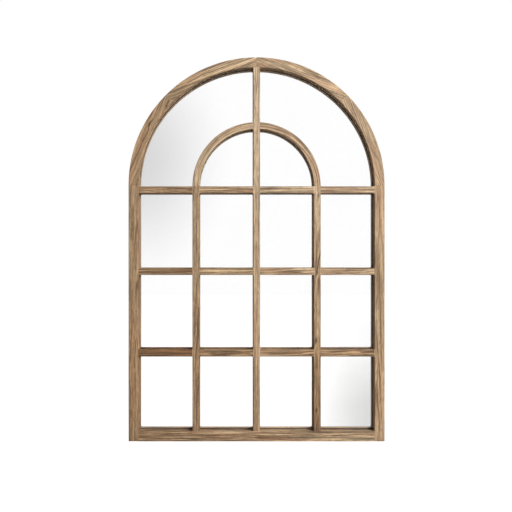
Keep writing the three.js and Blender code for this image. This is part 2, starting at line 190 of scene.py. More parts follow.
def cutter_routes():
    points = []
    sill = RAIL_TOP
    for z0, z1 in ROWS.values():
        for x0, x1 in COLUMN_EDGES:
            points += route_of_pane(x0, x1, sill, z0)
        sill = z1
    inside, outside = INNER_RADIUS - BAR / 2, INNER_RADIUS + BAR / 2
    for lunette in ((0, inside, INNER_Z), (outside, OPEN_HALF, SPRING_Z)):
        half = route_of_lunette(*lunette)
        points += half + [point * (-1, 1) for point in half]
    tree = KDTree(len(points))
    for i, (x, z) in enumerate(points):
        tree.insert((x, 0, z), i)
    tree.balance()
    return tree


ROUTES = cutter_routes()


def from_panes(x, z):
    """Distance from each point to the nearest pane, as the edge cutter saw it."""
    found = [ROUTES.find((px, 0, pz))[2] for px, pz in zip(x, z)]
    return np.maximum(np.array(found) - CUTTER, 0)


def from_outside(x, z):
    """Distance from each point to the frame's outer edge."""
    radial = HALF_WIDTH - np.hypot(x, z - SPRING_Z)
    straight = HALF_WIDTH - np.abs(x)
    side = np.where(z > SPRING_Z, radial, straight)
    return np.maximum(np.minimum(side, z - BOTTOM), 0)


# ---- Meshes -------------------------------------------------------------------------------------


def new_piece(name, points, faces, smooth_angle=40):
    """A closed mesh object with its faces turned outwards."""
    mesh = bpy.data.meshes.new(name)
    mesh.from_pydata([tuple(p) for p in points], [], faces)
    shape = bmesh.new()
    shape.from_mesh(mesh)
    bmesh.ops.recalc_face_normals(shape, faces=shape.faces)
    limit = math.radians(smooth_angle)
    for face in shape.faces:
        face.smooth = True
    for edge in shape.edges:
        edge.smooth = len(edge.link_faces) == 2 and edge.calc_face_angle(0) < limit
    shape.to_mesh(mesh)
    shape.free()
    piece = bpy.data.objects.new(name, mesh)
    bpy.context.scene.collection.objects.link(piece)
    return piece


def faces_of_tube(rings, count):
    """Quads between rings of count points, and a cap at each end."""
    faces = []
    for ring in range(rings - 1):
        for i in range(count):
            j = (i + 1) % count
            a, b = ring * count, (ring + 1) * count
            faces.append((a + i, a + j, b + j, b + i))
    last = (rings - 1) * count
    return faces + [tuple(range(count))[::-1], tuple(range(last, last + count))]


def lathe(name, profile, sides):
    """A solid turned about Y. profile lists (radius, y), from one end on the axis to the other."""
    points = [(0, profile[0][1], 0), (0, profile[-1][1], 0)]
    rings = profile[1:-1]
    for radius, y in rings:
        for i in range(sides):
            angle = 2 * math.pi * i / sides
            points.append((radius * math.cos(angle), y, radius * math.sin(angle)))
    faces = []
    for i in range(sides):
        j = (i + 1) % sides
        faces.append((0, 2 + i, 2 + j))
        for ring in range(len(rings) - 1):
            a, b = 2 + ring * sides, 2 + (ring + 1) * sides
            faces.append((a + i, b + i, b + j, a + j))
        last = 2 + (len(rings) - 1) * sides
        faces.append((1, last + j, last + i))
    return new_piece(name, points, faces)


def extruded(name, outline, y0, y1):
    """A flat solid: outline lists (x, z) and is carried from y0 to y1."""
    count = len(outline)
    points = [(x, y, z) for y in (y0, y1) for x, z in outline]
    return new_piece(name, points, faces_of_tube(2, count))


def combined(piece, other, operation):
    """piece with other joined to it or cut from it. other is used up."""
    modifier = piece.modifiers.new("combine", "BOOLEAN")
    modifier.object, modifier.operation, modifier.solver = other, operation, "EXACT"
    depsgraph = bpy.context.evaluated_depsgraph_get()
    mesh = bpy.data.meshes.new_from_object(piece.evaluated_get(depsgraph))
    piece.modifiers.clear()
    piece.data = mesh
    bpy.data.objects.remove(other)
    return piece


def softened(piece, width, segments=2):
    """A narrow bevel on the piece's sharp edges."""
    modifier = piece.modifiers.new("softened", "BEVEL")
    modifier.width, modifier.segments = width, segments
    modifier.limit_method, modifier.angle_limit = "ANGLE", math.radians(35)
    modifier.harden_normals = False
    return piece


def dress(piece, material, body, slot, *nodes):
    """Gives a piece its material, its body and the nodes it stands for, which it hides. slot is not
    used.
    """
    piece.data.materials.clear()
    piece.data.materials.append(material)
    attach(piece, body)
    if nodes:
        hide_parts(*nodes)
    return piece


def store(piece, name, values):
    """Keeps a value or a vector for each point of the mesh, for its material."""
    vector = values.ndim == 2
    attribute = piece.data.attributes.new(name, "FLOAT_VECTOR" if vector else "FLOAT", "POINT")
    field = "vector" if vector else "value"
    attribute.data.foreach_set(field, values.astype(np.float32).ravel())


# ---- Materials ----------------------------------------------------------------------------------


def colour(red, green, blue):
    """A colour written as it looks, from 0 to 255, as the linear values that a shader takes."""
    shares = [c / 255 for c in (red, green, blue)]
    return (*[c / 12.92 if c < 0.04045 else ((c + 0.055) / 1.055) ** 2.4 for c in shares], 1.0)


class Nodes:
    """The node tree of one material."""

    def __init__(self, name):
        self.material = bpy.data.materials.new(name)
        self.material.use_nodes = True
        self.tree = self.material.node_tree
        self.tree.nodes.clear()

    def add(self, kind, inputs=None, **settings):
        """Adds a node. An input that is another node's output is linked to it."""
        node = self.tree.nodes.new("ShaderNode" + kind)
        for key, value in settings.items():
            setattr(node, key, value)
        for key, value in (inputs or {}).items():
            if isinstance(value, bpy.types.NodeSocket):
                self.tree.links.new(value, node.inputs[key])
            else:
                node.inputs[key].default_value = value
        return node

    def attribute(self, name, output="Fac"):
        return self.add("Attribute", attribute_name=name).outputs[output]

    def math(self, operation, *values, clamp=False):
        inputs = dict(enumerate(values))
        return self.add("Math", inputs, operation=operation, use_clamp=clamp).outputs[0]

    def scaled(self, vector, scale):
        """A vector with each part multiplied by its own number."""
        inputs = {0: vector, 1: scale}
        return self.add("VectorMath", inputs, operation="MULTIPLY").outputs[0]

    def noise(self, vector, scale, detail=2.0, roughness=0.5):
        """Noise from about 0 to 1, with its own scale along each axis."""
        inputs = {"Vector": self.scaled(vector, scale), "Scale": 1.0}
        inputs.update({"Detail": detail, "Roughness": roughness})
        return self.add("TexNoise", inputs).outputs["Fac"]

    def ranged(self, value, low, high, to_low=0.0, to_high=1.0, smooth=True):
        """value carried from low..high to to_low..to_high, and held there outside it."""
        inputs = {"Value": value, "From Min": low, "From Max": high}
        inputs.update({"To Min": to_low, "To Max": to_high})
        kind = "SMOOTHSTEP" if smooth else "LINEAR"
        return self.add("MapRange", inputs, interpolation_type=kind).outputs[0]

    def mix(self, factor, a, b, blend="MIX"):
        inputs = {0: factor, 6: a, 7: b}
        return self.add("Mix", inputs, data_type="RGBA", blend_type=blend).outputs[2]

    def shaded(self, tint, value):
        """A colour made lighter or darker by a value around 1."""
        grey = self.add("CombineColor", {0: value, 1: value, 2: value}).outputs[0]
        return self.mix(1.0, tint, grey, "MULTIPLY")

    def bump(self, height, distance, strength=1.0, normal=None):
        inputs = {"Height": height, "Distance": distance, "Strength": strength}
        if normal:
            inputs["Normal"] = normal
        return self.add("Bump", inputs).outputs[0]

    def surface(self, inputs):
        shader = self.add("BsdfPrincipled", inputs).outputs[0]
        self.add("OutputMaterial", {"Surface": shader})
        return self.material


def wood_pattern(n, grain, spacing, light, dark):
    """Colour, ring shade and fine grain of wood, from its place in the log: x runs along the
    grain, and y and z across it from the heart."""
    wander = n.noise(grain, (2.6, 38, 38), detail=2.0)
    waver = n.noise(grain, (11, 150, 150), detail=2.0)
    across = n.scaled(grain, (0, 1, 1))
    radius = n.add("VectorMath", {0: across}, operation="LENGTH").outputs["Value"]
    turns = n.math("DIVIDE", radius, spacing)
    turns = n.math("MULTIPLY_ADD", wander, 1.6, turns)
    turns = n.math("MULTIPLY_ADD", waver, 0.6, turns)
    phase = n.math("FRACT", turns)
    late = n.math("MULTIPLY", n.ranged(phase, 0.3, 0.84), n.ranged(phase, 0.88, 1.0, 1.0, 0.0))
    strength = n.ranged(n.noise(grain, (2.4, 52, 52), detail=1.0), 0.4, 0.66, 0.05, 1.0)
    late = n.math("MULTIPLY", late, strength)
    streak = n.noise(grain, (4.5, 170, 170), detail=4.0, roughness=0.62)
    fibre = n.noise(grain, (24, 1100, 1100), detail=3.0, roughness=0.65)
    tint = n.mix(late, light, dark)
    tint = n.shaded(tint, n.ranged(streak, 0.32, 0.68, 0.7, 1.24, smooth=False))
    fine = n.noise(grain, (9, 380, 380), detail=3.0, roughness=0.6)
    tint = n.shaded(tint, n.ranged(fine, 0.32, 0.68, 0.66, 1.3, smooth=False))
    tint = n.shaded(tint, n.ranged(fibre, 0.3, 0.7, 0.84, 1.14, smooth=False))
    flecks = n.noise(grain, (36, 310, 310), detail=3.0, roughness=0.65)
    tint = n.shaded(tint, n.ranged(flecks, 0.34, 0.66, 0.72, 1.24, smooth=False))
    return tint, late, fibre


def weathered_wood():
    """Pale brown, wire-brushed wood with streaks, dashes, small knots, darker edges along the panes
    and painted shade on the walls by the glass."""
    n = Nodes("weathered_wood")
    grain = n.attribute("grain", "Vector")
    knot = n.scaled(n.attribute("knot", "Vector"), (0.42, 1, 0))
    away = n.add("VectorMath", {0: knot}, operation="LENGTH").outputs["Value"]
    ragged = n.math("SUBTRACT", n.noise(grain, (60, 420, 420), detail=2.0), 0.5)
    away = n.math("MULTIPLY_ADD", ragged, 0.7, away)
    swell = n.ranged(away, 0.0, 4.5, 1.0, 0.0)
    bent = n.add("CombineXYZ", {0: 0.0, 1: n.math("MULTIPLY", swell, 5 * MM), 2: 0.0}).outputs[0]
    flow = n.add("VectorMath", {0: grain, 1: bent}, operation="ADD").outputs[0]

    tint, late, fibre = wood_pattern(n, flow, 4.3 * MM, WOOD_LIGHT, WOOD_DARK)
    band = n.noise(flow, (2.6, 95, 95), detail=2.0)
    tint = n.shaded(tint, n.ranged(band, 0.34, 0.66, 0.8, 1.18, smooth=False))
    # Rows of grain, stronger on level members: there also painted light and shade, as if their brushed
    # furrows caught light from above.
    rows = n.noise(flow, (6, 330, 330), detail=1.0)
    rows = n.ranged(rows, 0.36, 0.64, -0.6, 0.5, smooth=False)
    tint = n.shaded(tint, n.math("MULTIPLY_ADD", rows, n.attribute("rows"), 1.0))
    tint = n.mix(1.0, tint, colour(216, 190, 156), "DARKEN")
    grey = n.ranged(n.noise(grain, (4, 50, 50), detail=3.0), 0.46, 0.66)
    tint = n.mix(n.math("MULTIPLY", grey, 0.4), tint, n.mix(0.5, tint, colour(150, 136, 106)))
    ruddy = n.ranged(n.noise(grain, (6, 70, 70), detail=3.0), 0.5, 0.7)
    tint = n.mix(n.math("MULTIPLY", ruddy, 0.5), tint, n.mix(0.5, tint, colour(176, 122, 90)))

    lines = n.ranged(n.noise(flow, (4, 330, 330), detail=3.0), 0.56, 0.64)
    lines = n.math("MULTIPLY", lines, n.ranged(n.noise(grain, (5, 70, 70)), 0.42, 0.6, 0.3, 1.0))
    tint = n.mix(n.math("MULTIPLY", lines, 0.7), tint, STREAK)
    dashes = n.ranged(n.noise(grain, (42, 640, 640), detail=1.0), 0.6, 0.7)
    tint = n.mix(n.math("MULTIPLY", dashes, 0.6), tint, STREAK)

    stroke = n.add("SeparateXYZ", {0: n.attribute("mark", "Vector")}).outputs
    off = n.math("MULTIPLY_ADD", ragged, 2.2, n.math("ABSOLUTE", stroke[1]))
    mark = n.math("MULTIPLY", n.ranged(off, 0.25, 1.0, 1.0, 0.0), stroke[2])
    reach = n.math("MULTIPLY_ADD", ragged, 0.8, n.math("ABSOLUTE", stroke[0]))
    mark = n.math("MULTIPLY", mark, n.ranged(reach, 0.4, 1.0, 1.0, 0.0))
    tint = n.mix(mark, tint, STREAK)

    core = n.ranged(away, 0.55, 1.15, 1.0, 0.0)
    rim = n.math("MULTIPLY", n.ranged(away, 0.7, 1.0), n.ranged(away, 1.0, 2.4, 1.0, 0.0))
    tint = n.mix(n.math("MULTIPLY", core, 0.9), tint, colour(66, 45, 28))
    tint = n.mix(n.math("MULTIPLY", rim, 0.6), tint, STREAK)

    # Darker along the eased edges next to the panes, in patches.
    pane_edge_darkening = n.ranged(n.attribute("edge"), 0.4 * MM, 3.0 * MM, 1.0, 0.0)
    patchy = n.ranged(n.noise(grain, (25, 60, 60)), 0.35, 0.6, 0.5, 1.0)
    pane_edge_darkening = n.math("MULTIPLY", pane_edge_darkening, patchy)
    tint = n.mix(n.math("MULTIPLY", pane_edge_darkening, 0.5), tint, STREAK)
    # The member's tone, partly its own and partly painted light: brighter toward the upper right,
    # darker toward the lower left, deeper and warmer where darker.
    tone = n.attribute("tone")
    warmth = {0: tone, 1: n.math("POWER", tone, 1.35), 2: n.math("POWER", tone, 1.8)}
    tint = n.mix(1.0, tint, n.add("CombineColor", warmth).outputs[0], "MULTIPLY")
    # Painted shade on the walls toward the glass, darkest where they meet it.
    painted_glass_shade = n.math("MULTIPLY", n.attribute("nook"), n.ranged(ragged, -0.25, 0.25, 0.85, 1.0))
    tint = n.mix(n.math("MULTIPLY", painted_glass_shade, 0.85), tint, colour(42, 27, 14))

    rough = n.ranged(late, 0.0, 1.0, 0.74, 0.62)
    furrows = n.math("MULTIPLY_ADD", fibre, 0.5, n.math("MULTIPLY", late, 0.6))
    furrows = n.math("MULTIPLY_ADD", dashes, -0.7, furrows)
    normal = n.bump(furrows, 0.35 * MM, 0.8)
    return n.surface({"Base Color": tint, "Roughness": rough, "Normal": normal})


def planed_beech():
    """Pale, even wood for the dowels and splines, with its grain along each piece."""
    n = Nodes("planed_beech")
    place = n.add("TexCoord").outputs["Object"]
    pale, ring = colour(214, 180, 138), colour(186, 146, 104)
    tint, late, fibre = wood_pattern(n, place, 2.4 * MM, pale, ring)
    flecks = n.ranged(n.noise(place, (300, 1200, 1200)), 0.6, 0.7)
    tint = n.mix(n.math("MULTIPLY", flecks, 0.4), tint, colour(150, 108, 70))
    normal = n.bump(fibre, 0.1 * MM, 0.5)
    rough = n.ranged(late, 0, 1, 0.6, 0.5)
    return n.surface({"Base Color": tint, "Roughness": rough, "Normal": normal})


def clear_glass():
    n = Nodes("clear_glass")
    place = n.add("TexCoord").outputs["Object"]
    smear = n.noise(place, (6, 6, 9), detail=4.0)
    rough = n.ranged(smear, 0.45, 0.8, 0.0, 0.012)
    tint = n.mix(n.ranged(smear, 0.3, 0.8), (1, 1, 1, 1), (0.997, 0.997, 0.997, 1))
    inputs = {"Base Color": tint, "Roughness": rough}
    inputs.update({"IOR": 1.52, "Transmission Weight": 1.0})
    return n.surface(inputs)


def silvering():
    n = Nodes("silvering")
    place = n.add("TexCoord").outputs["Object"]
    cloud = n.noise(place, (5, 5, 5), detail=3.0)
    tint = n.mix(n.ranged(cloud, 0.3, 0.8), (1, 1, 1, 1), (0.994, 0.994, 0.994, 1))
    rough = n.ranged(cloud, 0.3, 0.8, 0.0, 0.012)
    return n.surface({"Base Color": tint, "Metallic": 1.0, "Roughness": rough})


def hardboard():
    """Brown hardboard with pressed fibres and the fine net of its screen on the back."""
    n = Nodes("hardboard")
    place = n.add("TexCoord").outputs["Object"]
    clouds = n.noise(place, (9, 9, 14), detail=8.0, roughness=0.72)
    tint = n.mix(n.ranged(clouds, 0.25, 0.75), colour(142, 108, 74), colour(120, 90, 60))
    mottle = n.noise(place, (70, 70, 70), detail=3.0, roughness=0.6)
    tint = n.shaded(tint, n.ranged(mottle, 0.3, 0.7, 0.9, 1.1, smooth=False))
    fibres = n.noise(place, (420, 420, 900), detail=3.0, roughness=0.7)
    tint = n.shaded(tint, n.ranged(fibres, 0.3, 0.7, 0.86, 1.14))
    flecks = n.ranged(n.noise(place, (160, 160, 340), detail=2.0), 0.64, 0.72)
    tint = n.mix(n.math("MULTIPLY", flecks, 0.5), tint, colour(178, 146, 106))
    net = n.add("TexVoronoi", {"Vector": place, "Scale": 620.0, "Randomness": 0.15})
    height = n.math("MULTIPLY_ADD", fibres, 0.6, n.math("MULTIPLY", net.outputs["Distance"], 0.8))
    rough = n.ranged(fibres, 0.2, 0.8, 0.72, 0.9)
    normal = n.bump(height, 0.25 * MM, 0.7)
    return n.surface({"Base Color": tint, "Roughness": rough, "Normal": normal})


def zinc():
    """Bright zinc plating: faint spangle, and light scratches."""
    n = Nodes("zinc")
    place = n.add("TexCoord").outputs["Object"]
    spangle = n.noise(place, (700, 700, 700), detail=2.0)
    haze = n.noise(place, (90, 90, 90), detail=2.0)
    scratches = n.ranged(n.noise(place, (4000, 1500, 260), detail=1.0), 0.62, 0.7)
    tint = n.mix(n.ranged(haze, 0.35, 0.65), colour(188, 191, 195), colour(166, 167, 165))
    rough = n.ranged(spangle, 0.3, 0.7, 0.24, 0.4)
    height = n.math("MULTIPLY_ADD", scratches, -0.6, n.math("MULTIPLY", spangle, 0.4))
    normal = n.bump(height, 0.03 * MM, 0.6)
    return n.surface({"Base Color": tint, "Metallic": 1.0, "Roughness": rough, "Normal": normal})


def rubber():
    """Dark matt rubber with a moulded bloom and a little dust."""
    n = Nodes("rubber")
    place = n.add("TexCoord").outputs["Object"]
    dust = n.ranged(n.noise(place, (320, 320, 320), detail=4.0), 0.45, 0.75)
    tint = n.mix(n.math("MULTIPLY", dust, 0.35), colour(42, 42, 44), colour(96, 94, 90))
    grainy = n.noise(place, (2600, 2600, 2600), detail=1.0)
    normal = n.bump(grainy, 0.06 * MM, 0.6)
    rough = n.ranged(dust, 0, 1, 0.62, 0.85)
    return n.surface({"Base Color": tint, "Roughness": rough, "Normal": normal})


WOOD_LIGHT, WOOD_DARK = colour(186, 154, 118), colour(122, 90, 60)
STREAK = colour(78, 53, 31)
WOOD = weathered_wood()
BEECH = planed_beech()
GLASS = clear_glass()
SILVER = silvering()
HARDBOARD = hardboard()
ZINC = zinc()
RUBBER = rubber()

# ---- Wooden members -----------------------------------------------------------------------------


class Line:
    """A straight member's middle line. across points to its outer side."""

    def __init__(self, start, end, across):
        self.start = np.array(start, float)
        run = np.array(end, float) - self.start
        self.length = float(np.linalg.norm(run))
        self.along = run / self.length
        self.across = np.array(across, float)
        self.grain = math.atan2(self.along[1], self.along[0])
        self.step = STATION_STEP
        self.bent = False

    def at(self, s, t):
        points = self.start + np.outer(s, self.along) + np.outer(t, self.across)
        return points[:, 0], points[:, 1]


class Arc:
    """A curved member's middle line, about x = 0 and height centre_z. It is either sawn from a
    straight plank or, when bent, made so that its grain follows the curve."""

    def __init__(self, radius, start, end, centre_z, bent=False):
        self.radius, self.start, self.centre_z, self.bent = radius, start, centre_z, bent
        self.length = radius * (end - start)
        self.grain = (start + end) / 2 + math.pi / 2
        self.step = ARC_STEP

    def at(self, s, t):
        angle = self.start + np.asarray(s) / self.radius
        r = self.radius + np.asarray(t)
        return r * np.cos(angle), self.centre_z + r * np.sin(angle)


class Figure:
    """How a member was sawn from its log: its place beside the heart, its tone and its marks. The tone
    is partly painted light, brighter toward the upper right.
    """

    def __init__(self, seed, heart, depth, drift=(0, 0.014), tone=(1, 1), knots=(), marks=()):
        self.seed = seed
        self.heart, self.depth = heart, depth  # from the log's heart to the middle of the face
        self.drift = drift  # how far the heart strays in each metre, across and in depth
        self.tone = tone  # how pale it is at its start and at its end: partly its own tone, partly painted light, brighter toward the upper right and darker toward the lower left
        self.knots = knots  # (x, z, radius) on the face
        self.marks = marks  # dark streaks: (x, z, degrees, half length, half width, strength)


def stations(line, joints, steps):
    """Places along a member: even ones, finer ones beside each joint's edge, and two close
    together where a rebate starts."""
    even = np.linspace(0, line.length, max(2, round(line.length / line.step)) + 1)
    fine = [edge + side * NEAR_JOINT for edge in joints for side in (-1, 1)]
    places = np.unique(np.clip(np.concatenate([even, *fine]), 0, line.length))
    places = places[np.concatenate([[True], np.diff(places) > CLOSEST])]
    places[-1] = line.length
    pairs = [step + side * STEP_WIDTH / 2 for step in steps for side in (-1, 1)]
    return np.unique(np.concatenate([places, pairs]))


def face_columns(width):
    """Places across a member's face: close together over the eased edges."""
    half = width / 2
    inside = half - NEAR_EDGE[-1]
    middle = np.linspace(-inside, inside, max(3, round(2 * inside / COLUMN_STEP)) + 1)
    return np.concatenate([-half + NEAR_EDGE, middle[1:-1], (half - NEAR_EDGE)[::-1]])


def frame_back():
    """The back of a frame member's section, from its outer to its inner side: where across, how
    deep, the sheet whose rebate it belongs to, and how much painted shade lies there."""
    outer = FACE / 2
    board, glass = outer - BOARD_INSET, outer - GLASS_INSET
    section = [
        (outer, WALL_DEPTHS[0], None, 0),
        (outer, (FRONT_Y + BACK_Y) / 2, None, 0),
        (outer, BACK_Y - BACK_CHAMFER, None, 0),
        (outer - BACK_CHAMFER, BACK_Y, None, 0),
        (board, BACK_Y, None, 0),
        (board, GLASS_BACK_Y, "board", 0),
        (glass, GLASS_BACK_Y, "board", 0),
        (glass, GLASS_FRONT_Y, "glass", 0),
        (-outer, GLASS_FRONT_Y, "glass", 1),
    ]
    wall = list(zip(WALL_DEPTHS, WALL_NOOK_SHADES))
    return section + [(-outer, y, None, nook) for y, nook in reversed(wall)]


def bar_back():
    """The back of a bar's section, from its outer to its inner side, told in the same way."""
    wall = [*zip(WALL_DEPTHS, WALL_NOOK_SHADES), (BAR_BACK_Y, 1)]
    section = [(BAR / 2, y, None, nook) for y, nook in wall]
    return section + [(-BAR / 2, y, None, nook) for y, nook in reversed(wall)]


def rebated(y, sheet, z):
    """How deep a rebate's floor is at each z: there is none below the sheet that it holds."""
    depth = np.full_like(z, y)
    if sheet == "glass":
        depth[z < BOTTOM + GLASS_INSET - STEP_WIDTH / 4] = GLASS_BACK_Y
    if sheet:
        depth[z < BOTTOM + BOARD_INSET - STEP_WIDTH / 4] = BACK_Y
    return depth


def log_place(line, figure, x, y, z):
    """Each point's place in the log that the member was sawn from."""
    cos, sin = math.cos(line.grain), math.sin(line.grain)
    along, across = x * cos + z * sin, z * cos - x * sin
    middle_x, middle_z = line.at([line.length / 2], [0])
    across = across - (middle_z[0] * cos - middle_x[0] * sin)
    along_middle = along - (middle_x[0] * cos + middle_z[0] * sin)
    if line.bent:
        across = np.hypot(x, z - line.centre_z) - line.radius
        along = line.radius * np.arctan2(z - line.centre_z, x)
        along_middle = along - line.radius * line.start - line.length / 2
    drift_across, drift_depth = figure.drift
    across = across + figure.heart + drift_across * along_middle
    depth = y - FRONT_Y + figure.depth + drift_depth * along_middle
    return np.stack([along + 3.7 * figure.seed, across, depth], axis=1)


def knot_offsets(line, knots, x, z):
    """From each point to its nearest knot, along and across the grain, in knot radii."""
    cos, sin = math.cos(line.grain), math.sin(line.grain)
    offsets = np.full((len(x), 3), 50.0)
    best = np.full(len(x), 1e9)
    for knot_x, knot_z, radius in knots:
        dx, dz = x - knot_x, z - knot_z
        along, across = dx * cos + dz * sin, dz * cos - dx * sin
        away = np.hypot(along * 0.42, across) / radius
        nearer = away < best
        best = np.where(nearer, away, best)
        offset = np.stack([along, across, np.zeros_like(along)], axis=1) / radius
        offsets[nearer] = offset[nearer]
    return offsets


def mark_offsets(marks, x, z):
    """From each point to its nearest dark streak, along and across it in shares of its own half
    length and half width, and how strong that streak is."""
    offsets = np.full((len(x), 3), 50.0)
    best = np.full(len(x), 1e9)
    for mark_x, mark_z, degrees, half_length, half_width, strength in marks:
        cos, sin = math.cos(math.radians(degrees)), math.sin(math.radians(degrees))
        dx, dz = x - mark_x, z - mark_z
        along, across = (dx * cos + dz * sin) / half_length, (dz * cos - dx * sin) / half_width
        away = np.hypot(along, across / 3)
        nearer = away < best
        best = np.where(nearer, away, best)
        offset = np.stack([along, across, np.full_like(along, strength)], axis=1)
        offsets[nearer] = offset[nearer]
    return offsets


def worked_face(line, figure, x, z, edge):
    """How deep the face lies behind the front at each point: eased edges, brushing and nicks."""
    flat = np.stack([x, np.zeros_like(x), z], axis=1)
    radius = EASE * (1 + EASE_WANDER * smooth_noise(flat, (45, 1, 45), 3))
    short = np.maximum(radius - edge, 0)
    eased = radius - np.sqrt(radius**2 - short**2)
    place = log_place(line, figure, x, np.full_like(x, FRONT_Y), z)
    furrow = np.clip(0.5 + 0.5 * smooth_noise(place, (18, 900, 900), figure.seed), 0, 1)
    furrow *= BRUSHED_DEPTH * np.clip(edge / EASE, 0, 1)
    nick = np.clip(smooth_noise(flat, (260, 1, 260), 11) - 1.9, 0, 1)
    nick *= NICK_DEPTH * np.clip(1 - edge / EASE, 0, 1)
    return eased + furrow + nick


def wooden_member(name, line, width, back, figure, joints=(), steps=(), trim=None):
    """One wooden member as a closed sweep that stands for the node of the same name. joints are
    where the edges of its neighbours meet its sides, steps where its rebates start, and trim(t)
    gives where it starts and ends at t across."""
    s = stations(line, joints, steps)
    front = face_columns(width)
    t = np.concatenate([front, [across for across, _, _, _ in back]])
    starts, ends = trim(t) if trim else (np.zeros_like(t), np.full_like(t, line.length))
    s_grid = starts + np.outer(s / line.length, ends - starts)
    t_grid = np.broadcast_to(t, s_grid.shape)
    x, z = (v.reshape(s_grid.shape) for v in line.at(s_grid.ravel(), t_grid.ravel()))

    columns = len(front)
    face_x, face_z = x[:, :columns].ravel(), z[:, :columns].ravel()
    pane_edge = from_panes(face_x, face_z)
    edge = np.minimum(pane_edge, from_outside(face_x, face_z))
    y = np.empty_like(x)
    sunk = worked_face(line, figure, face_x, face_z, edge)
    y[:, :columns] = (FRONT_Y + sunk).reshape(-1, columns)
    # Painted shade on the walls toward the glass, kept for the material.
    nook_shades = np.zeros_like(x)
    for i, (_, depth, sheet, nook) in enumerate(back):
        y[:, columns + i] = rebated(depth, sheet, z[:, columns + i])
        nook_shades[:, columns + i] = nook
    # Tone along the member, partly its own and partly painted light.
    tones_and_light = np.interp(s_grid, [0, line.length], figure.tone)

    x, y, z = x.ravel(), y.ravel(), z.ravel()
    piece = new_piece("wood_" + name, np.stack([x, y, z], axis=1), faces_of_tube(len(s), len(t)))
    edges = np.full(s_grid.shape, NO_EDGE)
    edges[:, :columns] = pane_edge.reshape(-1, columns)
    store(piece, "grain", log_place(line, figure, x, y, z))
    store(piece, "knot", knot_offsets(line, figure.knots, x, z))
    store(piece, "mark", mark_offsets(figure.marks, x, z))
    store(piece, "edge", edges.ravel())
    store(piece, "nook", nook_shades.ravel())
    store(piece, "tone", tones_and_light.ravel())
    # How strongly the rows show: grain, and on level members also painted light and shade.
    store(piece, "rows", np.full(x.shape, UPRIGHT_ROWS + LEVEL_ROWS_SHADE * math.cos(line.grain) ** 2))
    slot = "frame_wood" if width == FACE else "bar_wood"
    return dress(piece, WOOD, "frame", slot, name)


FRAME_BACK = frame_back()
BAR_BACK = bar_back()
ROW_EDGES = [edge for row in ROWS.values() for edge in row]
CROSSINGS = [x + side * BAR / 2 for x in (-SIDE_X, 0, SIDE_X) for side in (-1, 1)]


def build_frame():
    """Stiles, bottom rail and the four arch segments."""
    left_marks = [
        (-0.386, -0.077, 90, 0.075, 5 * MM, 0.6),
        (-0.39, -0.36, 89, 0.11, 2.4 * MM, 0.5),
        (-0.379, -0.56, 91, 0.09, 2 * MM, 0.5),
    ]
    right_marks = [
        (0.388, -0.1, 90, 0.05, 1.6 * MM, 0.6),
        (0.378, -0.31, 91, 0.045, 1.6 * MM, 0.6),
        (0.386, -0.6, 90, 0.07, 2 * MM, 0.6),
    ]
    # Tones partly their own and partly painted light: darker at the bottom and to the left.
    left_tone_and_light, right_tone_and_light = (0.77, 1.0), (1.0, 1.02)
    figures = {
        "left_stile": Figure(1, 9 * MM, 26 * MM, (0.006, 0.03), left_tone_and_light, marks=left_marks),
        "right_stile": Figure(2, -14 * MM, 38 * MM, (-0.004, 0.018), right_tone_and_light, marks=right_marks),
    }
    for name, side in (("left_stile", -1), ("right_stile", 1)):
        x = side * (HALF_WIDTH - FACE / 2)
        line = Line((x, BOTTOM), (x, stile_high.z), (side, 0))
        joints = [z - BOTTOM for z in (RAIL_TOP, *ROW_EDGES)]
        steps = (BOARD_INSET, GLASS_INSET)
        wooden_member(name, line, FACE, FRAME_BACK, figures[name], joints, steps)

    z = BOTTOM + FACE / 2
    rail = Line((-OPEN_HALF, z), (OPEN_HALF, z), (0, -1))
    joints = [x + OPEN_HALF for x in CROSSINGS] + [0, rail.length]
    marks = [
        (-0.25, -0.75, 1, 0.09, 2.6 * MM, 0.6),
        (-0.05, -0.741, -1, 0.11, 2 * MM, 0.6),
        (0.15, -0.749, 0, 0.1, 2.4 * MM, 0.5),
        (0.29, -0.739, 1, 0.07, 2 * MM, 0.5),
    ]
    figure = Figure(3, 4 * MM, 21 * MM, (0.01, -0.02), (0.86, 1.1), marks=marks)
    wooden_member("bottom_rail", rail, FACE, FRAME_BACK, figure, joints)

    radius = HALF_WIDTH - FACE / 2
    gap = SEAM / 2 / radius
    crown = math.asin(BAR / 2 / OPEN_HALF)
    eighth = math.pi / 4
    upper_marks = [
        (-0.095, 0.412, 20, 0.035, 1.5 * MM, 0.8),
        (-0.13, 0.398, 26, 0.045, 1.8 * MM, 0.8),
        (-0.19, 0.374, 30, 0.05, 2 * MM, 0.8),
        (-0.235, 0.345, 33, 0.045, 1.8 * MM, 0.7),
    ]
    lower_marks = [(-0.372, 0.12, 75, 0.06, 2 * MM, 0.3), (-0.325, 0.252, 58, 0.05, 1.8 * MM, 0.4)]
    knots = [(-0.281, 0.288, 2.4 * MM), (-0.275, 0.301, 1.8 * MM), (-0.335, 0.231, 2.6 * MM)]
    # Tones partly their own and partly painted light: the arch is brighter, nearer the light.
    right_lower = Figure(4, 22 * MM, 30 * MM, (0.01, 0.02), (1.1, 1.15))
    right_upper = Figure(5, -8 * MM, 24 * MM, (-0.02, 0.03), (1.15, 1.2))
    left_upper = Figure(6, 30 * MM, 26 * MM, (0.03, 0), (1.15, 1), marks=upper_marks)
    left_lower = Figure(7, 12 * MM, 34 * MM, (-0.01, 0.02), (0.95, 0.95), knots, lower_marks)
    segments = {
        "arch_right_lower": (right_lower, 0),
        "arch_right_upper": (right_upper, eighth - crown),
        "arch_left_upper": (left_upper, crown),
        "arch_left_lower": (left_lower, eighth),
    }
    for i, (name, (figure, joint)) in enumerate(segments.items()):
        line = Arc(radius, i * eighth + gap, (i + 1) * eighth - gap, SPRING_Z)
        wooden_member(name, line, FACE, FRAME_BACK, figure, [radius * joint])


